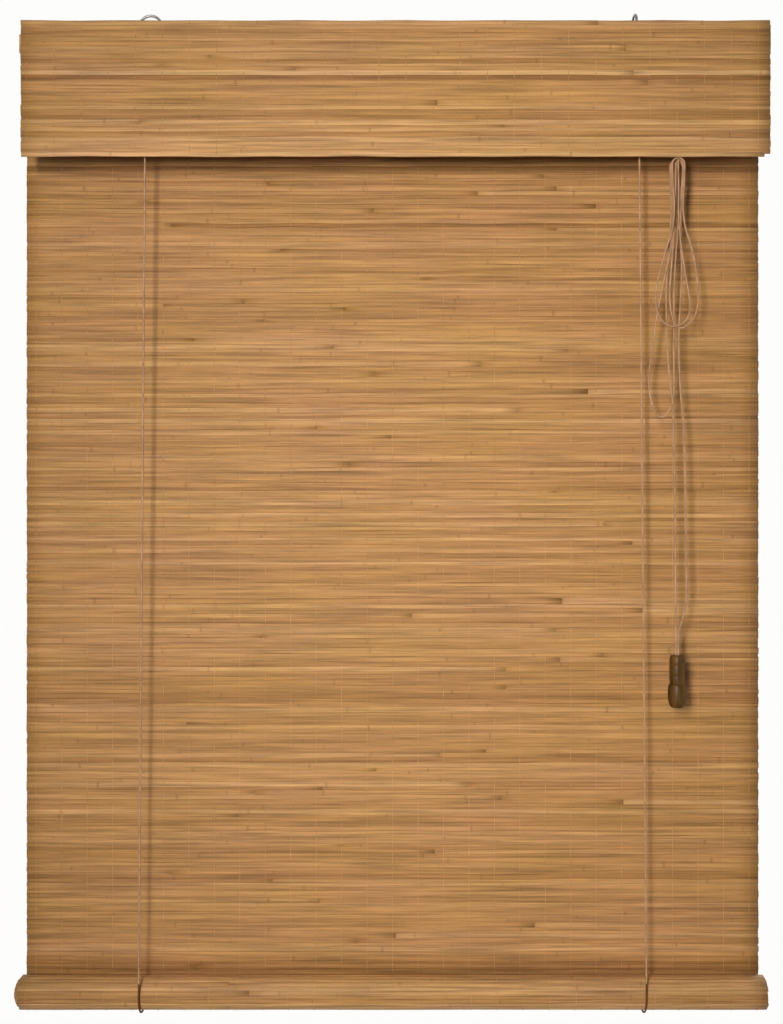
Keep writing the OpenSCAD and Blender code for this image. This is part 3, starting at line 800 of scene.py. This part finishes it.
# One groove: offsets from the grip's radius and from the groove's middle
GROOVE = [(0, -1.6), (-0.1, -1.1), (-0.7, -0.5), (-0.8, 0), (-0.7, 0.5), (-0.1, 1.1), (0, 1.6)]
BULB_STEPS = 12


def lathe(name, profile, centre, material, segments=LATHE_SEGMENTS):
    """A turned piece; profile is (radius, height) from its top to its foot, closed at both ends."""
    points = [(centre[0] + r * math.cos(a), centre[1] + r * math.sin(a), h)
              for r, h in profile for a in (2 * math.pi * k / segments for k in range(segments))]
    faces = []
    for i in range(len(profile) - 1):
        for k in range(segments):
            a, b = i * segments + k, i * segments + (k + 1) % segments
            faces.append((a, a + segments, b + segments, b))
    return mesh_piece(name, points, faces, material)


def tassel_profile():
    """Outside from the bore's rim down to the foot, then up the cup and the bore."""
    height = (tassel_high[2] - tassel_low[2]) / MM
    bulb = (tassel_high[0] - tassel_low[0]) / 2 / MM
    grip, lip, neck = bulb - GRIP_IN, bulb - LIP_IN, bulb - NECK_IN
    neck_at, bulb_mid = height - NECK_UP, height - BULB_UP
    outside = [(BORE_R, 0), (lip - 1.4, 0), (lip - 0.5, 0.3), (lip, 1.2), (lip + 0.5, 4.5)]
    for middle in GROOVES_AT:
        outside += [(grip + out, middle + down) for out, down in GROOVE]
    outside += [(grip - 0.15, neck_at - 4), (neck + 0.1, neck_at - 0.8)]
    quarter_turn = [math.pi / 2 * i / BULB_STEPS for i in range(BULB_STEPS + 1)]
    outside += [(neck + (bulb - neck) * math.sin(a), neck_at + (bulb_mid - neck_at) * (1 - math.cos(a)))
                for a in quarter_turn]
    outside += [(FOOT_R + (bulb - FOOT_R) * math.cos(a), bulb_mid + (height - bulb_mid) * math.sin(a))
                for a in quarter_turn[1:]]
    inside = [(CUP_R, height), (CUP_R, height - CUP_H), (BORE_R, height - CUP_H), (BORE_R, 0)]
    return [(r * MM, tassel_high[2] - depth * MM) for r, depth in outside + inside]


tassel = lathe("tassel_turned", tassel_profile(), (pull_x, pull_y), DARK_WOOD)
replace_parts(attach(tassel, "pull_set"), "tassel")


# Finishes of the nodes that keep their CAD shape
def finish_nodes(material, *names):
    for name in names:
        slots = nodes[name].data.materials
        slots.clear()
        slots.append(material)


finish_nodes(PINE, "head_rail", "bottom_bar")
finish_nodes(STEEL, "hanging_eye_left", "hanging_eye_right", "left_pulley_bracket", "right_pulley_bracket",
             "cord_lock_housing", "bracket_screws", "left_cord_anchor", "right_cord_anchor", "mat_staples",
             "left_pulley_pin", "right_pulley_pin", "cord_lock_pin", "cord_lock_post")
finish_nodes(BRONZE, "valance_brads")
finish_nodes(BRASS, "left_pulley_wheel", "right_pulley_wheel", "cord_lock_wheel", "cord_lock_roller")
finish_nodes(CORD, "tassel_knot")


# Studio: a pale floor and world, white to the camera, and soft light from the front left
FLOOR_Z = -2.9
STAGE_HALF = 3.4
WHITE = (0.985, 0.98, 0.965, 1)
AMBIENT = (0.12, 0.12, 0.12, 1)
FLOOR_COLOUR = (0.86, 0.86, 0.85, 1)
SHADOW_SHARE = 0.1


def background_rays(tree):
    """1 for the rays that show the background itself: the camera's, and those in metal and glass."""
    rays = tree.nodes.new("ShaderNodeLightPath").outputs
    shown = rays["Is Camera Ray"]
    for kind in ("Is Glossy Ray", "Is Transmission Ray"):
        either = tree.nodes.new("ShaderNodeMath")
        either.operation = "MAXIMUM"
        tree.links.new(shown, either.inputs[0])
        tree.links.new(rays[kind], either.inputs[1])
        shown = either.outputs[0]
    return shown


def stage_material():
    """Pale and matt in the light, and white in the picture, with a share of the object's shadow."""
    m = Shader("stage", roughness=0.9, specular=0.0)
    m.surface.inputs["Base Color"].default_value = FLOOR_COLOUR
    white = m.add("ShaderNodeEmission")
    white.inputs["Color"].default_value = WHITE
    seen = m.math("MULTIPLY", background_rays(m.tree), 1 - SHADOW_SHARE)
    both = m.add("ShaderNodeMixShader")
    m.link(seen, both.inputs[0])
    m.link(m.surface.outputs[0], both.inputs[1])
    m.link(white.outputs[0], both.inputs[2])
    m.link(both.outputs[0], m.tree.nodes["Material Output"].inputs["Surface"])
    return m.material


corners = [(x * STAGE_HALF, y * STAGE_HALF, FLOOR_Z) for x, y in ((-1, -1), (1, -1), (1, 1), (-1, 1))]
plane = mesh_piece("floor", corners, [(0, 1, 2, 3)], stage_material())


def soft_box(name, at, towards, size, spread, power):
    """A lit rectangle; size is across and up in metres, spread in degrees and power in watts."""
    light = bpy.data.lights.new(name, "AREA")
    light.shape = "RECTANGLE"
    light.size, light.size_y = size
    light.spread = math.radians(spread)
    light.energy = power
    lamp = bpy.data.objects.new(name, light)
    lamp.location = at
    lamp.rotation_euler = (Vector(towards) - Vector(at)).to_track_quat("-Z", "Y").to_euler()
    bpy.context.collection.objects.link(lamp)


# Two boxes to the left of the camera, the lower one too low to light the valance's shadow, and one behind
soft_box("upper_box", at=(-0.41, -1.97, -0.28), towards=(0.15, mat_y, -0.36), size=(0.24, 0.8),
         spread=96, power=11.4)
soft_box("lower_box", at=(-0.41, -1.97, -1.35), towards=(0.12, mat_y, -1.2), size=(0.66, 0.5),
         spread=50, power=1.15)
soft_box("back_box", at=(1.3, 2.2, 0.1), towards=(0, mat_y, -0.6), size=(1.2, 1.2),
         spread=120, power=22)

world = bpy.data.worlds.new("studio")
world.use_nodes = True
colour = world.node_tree.nodes.new("ShaderNodeMix")
colour.data_type = "RGBA"
colour.inputs[MIX_A].default_value = AMBIENT
colour.inputs[MIX_B].default_value = WHITE
world.node_tree.links.new(background_rays(world.node_tree), colour.inputs[MIX_FACTOR])
world.node_tree.links.new(colour.outputs[MIX_RESULT], world.node_tree.nodes["Background"].inputs["Color"])
bpy.context.scene.world = world
bpy.context.scene.view_settings.view_transform = "Standard"
